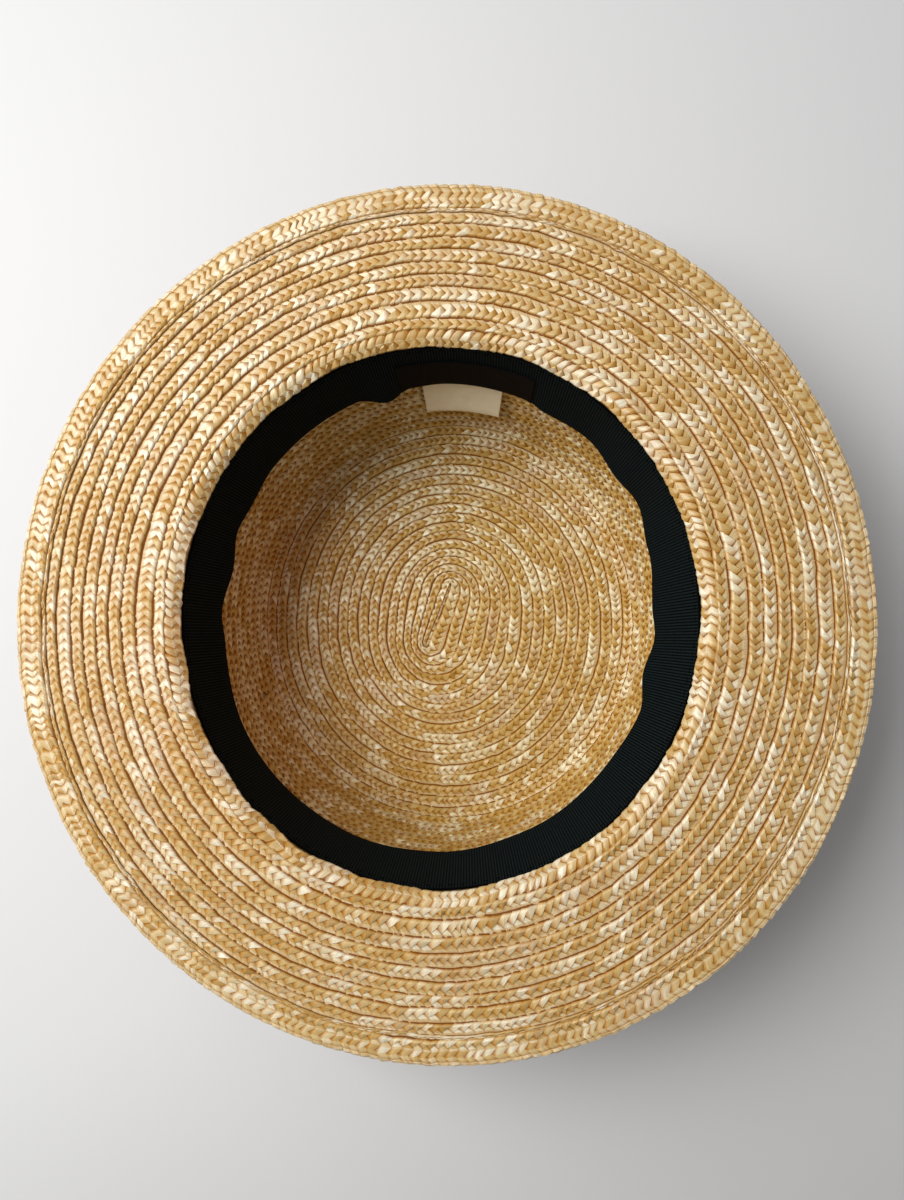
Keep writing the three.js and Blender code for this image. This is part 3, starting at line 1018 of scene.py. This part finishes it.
def tag_place(along, drop, depth):
    """A point of the size tag, which hangs a little askew and curls away from the wall."""
    down = TAG_DROP + drop + along * math.sin(TAG_SKEW)
    height = BAND_TOP - down
    curl = TAG_CURL * np.maximum(0, drop / TAG_HEIGHT + 0.5) ** 2
    radius = wall_radius(height) - TAG_GAP - curl - depth
    turn = TAG_TURN + (along - drop * math.sin(TAG_SKEW)) / HEAD_RADIUS
    x, y = plan(radius, turn)
    return np.stack([x, y, height], axis=-1)


label = patch("label_patch", LABEL_WIDTH, LABEL_HEIGHT, LABEL_THICK, label_place)
tag = patch("size_tag_tape", TAG_WIDTH, TAG_HEIGHT, TAG_THICK, tag_place)
print("label and tag made")

# %% Woven cloth of the label and the tag
WAVE_PERIOD = 2 * math.pi / 20  # at a scale of 1, a wave pattern's bands are this far apart
THREAD_WAVER = 1.5
PATCHY_THREADS = 6  # the tone changes over about this many threads
WEAVE_RELIEF = 0.08
WEAVE_ROUGHNESS = 0.8
Weave = namedtuple("Weave", "name dark light thread gloss")
DAMASK = Weave("brown-black damask", "#080605", "#120d0b", 0.5, 0.08)
TAPE = Weave("cream cotton tape", "#ebdfbd", "#fbf3de", 0.6, 0.3)  # both drawn coarse enough to show


def woven_cloth(weave):
    """A plain close weave, matt: fine crossing threads in two near tones, with the threads raised."""
    material, tree, shader = new_material(weave.name)
    place = add_node(tree, "ShaderNodeTexCoord").outputs["Object"]
    thread = weave.thread * MM
    warp, weft = (
        add_node(
            tree,
            "ShaderNodeTexWave",
            {"Vector": place, "Scale": WAVE_PERIOD / thread, "Distortion": THREAD_WAVER, "Detail": 1.0},
            bands_direction=direction,
        ).outputs["Fac"]
        for direction in ("X", "Z")
    )
    threads = add_node(tree, "ShaderNodeMath", {0: warp, 1: weft}, operation="MAXIMUM")
    noise = add_node(
        tree, "ShaderNodeTexNoise", {"Vector": place, "Scale": 1 / (PATCHY_THREADS * thread)}
    )
    tone = add_node(
        tree, "ShaderNodeMath", {0: threads.outputs[0], 1: noise.outputs["Fac"]}, operation="MULTIPLY"
    )
    colour = add_node(
        tree,
        "ShaderNodeMix",
        {BLEND: tone.outputs[0], FROM: linear(weave.dark), TO: linear(weave.light)},
        data_type="RGBA",
    )
    bump = add_node(
        tree,
        "ShaderNodeBump",
        {"Strength": 0.5, "Distance": WEAVE_RELIEF * MM, "Height": threads.outputs[0]},
    )
    tree.links.new(colour.outputs[BLENDED], shader.inputs["Base Color"])
    tree.links.new(bump.outputs["Normal"], shader.inputs["Normal"])
    shader.inputs["Roughness"].default_value = WEAVE_ROUGHNESS
    shader.inputs["Specular IOR Level"].default_value = weave.gloss
    return material


label.data.materials.append(woven_cloth(DAMASK))
tag.data.materials.append(woven_cloth(TAPE))
for piece, node, slot, flat in [
    (label, "label", "label_weave", (LABEL_WIDTH * MM, LABEL_HEIGHT * MM)),
    (tag, "size_tag", "tag_tape", (TAG_WIDTH * MM, TAG_HEIGHT * MM)),
]:
    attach(piece, "root")
    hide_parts(node)

# %% [markdown]
# ## Floor and light
# The hat lies on a plain white surface near a window on the upper left. One soft light stands for the
# window, a larger and weaker one for the bright room round it, and a pale sky fills the shadows. A whole
# room could be built to give the rest, but two things are simply put in: the floor is painted a little
# darker towards the lower right as shade, where the window's light falls off, and a weak warm spot stands
# for light that the bright straw throws on the shaded left wall.

# %% Floor
FLOOR_SIZE = 3.0
# the far colour is painted shade: the paper is drawn darker away from the window, where the room's light
# falls off
PAPER_NEAR, PAPER_PAINTED_SHADE = "#d7d8da", "#ababa9"  # near the window and far from it
PAPER_SHADE_FADE = (0.1, 0.6)  # metres from the paper's middle, away from the window
PAPER_SLANT = 0.5  # how much the way to the right counts beside the way to the front
PAPER_ROUGHNESS = 0.9


def white_paper():
    """Matt white paper, painted darker away from the window as shade for the room's fading light."""
    material, tree, shader = new_material("matt white paper")
    place = add_node(tree, "ShaderNodeTexCoord")
    axes = add_node(tree, "ShaderNodeSeparateXYZ", {0: place.outputs["Object"]})
    right = add_node(tree, "ShaderNodeMath", {0: axes.outputs["X"], 1: PAPER_SLANT}, operation="MULTIPLY")
    away = add_node(
        tree, "ShaderNodeMath", {0: right.outputs[0], 1: axes.outputs["Y"]}, operation="SUBTRACT"
    )
    fade = add_node(
        tree,
        "ShaderNodeMapRange",
        {"Value": away.outputs[0], "From Min": PAPER_SHADE_FADE[0], "From Max": PAPER_SHADE_FADE[1]},
    )
    colour = add_node(
        tree,
        "ShaderNodeMix",
        {BLEND: fade.outputs["Result"], FROM: linear(PAPER_NEAR), TO: linear(PAPER_PAINTED_SHADE)},
        data_type="RGBA",
    )
    tree.links.new(colour.outputs[BLENDED], shader.inputs["Base Color"])
    shader.inputs["Roughness"].default_value = PAPER_ROUGHNESS
    return material


floor_points = np.array([(-1, -1, 0), (1, -1, 0), (1, 1, 0), (-1, 1, 0)]) * FLOOR_SIZE / 2
floor = array_mesh("floor", floor_points, np.array([[0, 1, 2, 3]]))
floor.data.materials.append(white_paper())
print("floor", FLOOR_SIZE, "m")

# %% Light
WINDOW_PLACE = (-0.47, 0.17, 0.80)
WINDOW_SIZE = 0.55
WINDOW_POWER = 7.9
WINDOW_COLOUR = (1.0, 0.98, 0.955)
ROOM_PLACE = (-0.6, 0.35, 0.9)
ROOM_SIZE = 1.4
ROOM_POWER = 4.5
STRAW_GLOW_PLACE = (0.28, 0.03, 0.36)
STRAW_GLOW_TOWARDS = (-0.072, -0.02, 0.034)
STRAW_GLOW_POWER = 0.8
STRAW_GLOW_SPREAD = math.radians(26)
STRAW_GLOW_COLOUR = (1.0, 0.18, 0.02)
SKY_COLOUR = "#f7f7f7"
SKY_STRENGTH = 0.26
TIP_MIDDLE = (0, 0, 0)


def add_light(name, kind, place, towards, power, colour, **settings):
    """A light at a place that looks towards a point."""
    light = bpy.data.objects.new(name, bpy.data.lights.new(name, kind))
    light.location = place
    light.rotation_mode = "QUATERNION"
    light.rotation_quaternion = (Vector(towards) - light.location).to_track_quat("-Z", "Y")
    light.data.energy = power
    light.data.color = colour
    for setting, value in settings.items():
        setattr(light.data, setting, value)
    bpy.context.collection.objects.link(light)


add_light("window_light", "AREA", WINDOW_PLACE, TIP_MIDDLE, WINDOW_POWER, WINDOW_COLOUR, size=WINDOW_SIZE)
add_light("window_glow", "AREA", ROOM_PLACE, TIP_MIDDLE, ROOM_POWER, WINDOW_COLOUR, size=ROOM_SIZE)
add_light(
    "straw_glow",
    "SPOT",
    STRAW_GLOW_PLACE,
    STRAW_GLOW_TOWARDS,
    STRAW_GLOW_POWER,
    STRAW_GLOW_COLOUR,
    spot_size=STRAW_GLOW_SPREAD,
    spot_blend=1.0,
)

sky = bpy.data.worlds.new("pale sky")
sky.use_nodes = True
sky_light = sky.node_tree.nodes["Background"]
sky_light.inputs["Color"].default_value = linear(SKY_COLOUR)
sky_light.inputs["Strength"].default_value = SKY_STRENGTH
bpy.context.scene.world = sky
bpy.context.scene.view_settings.view_transform = "Standard"
print("window", WINDOW_POWER, "W, sky", SKY_STRENGTH)
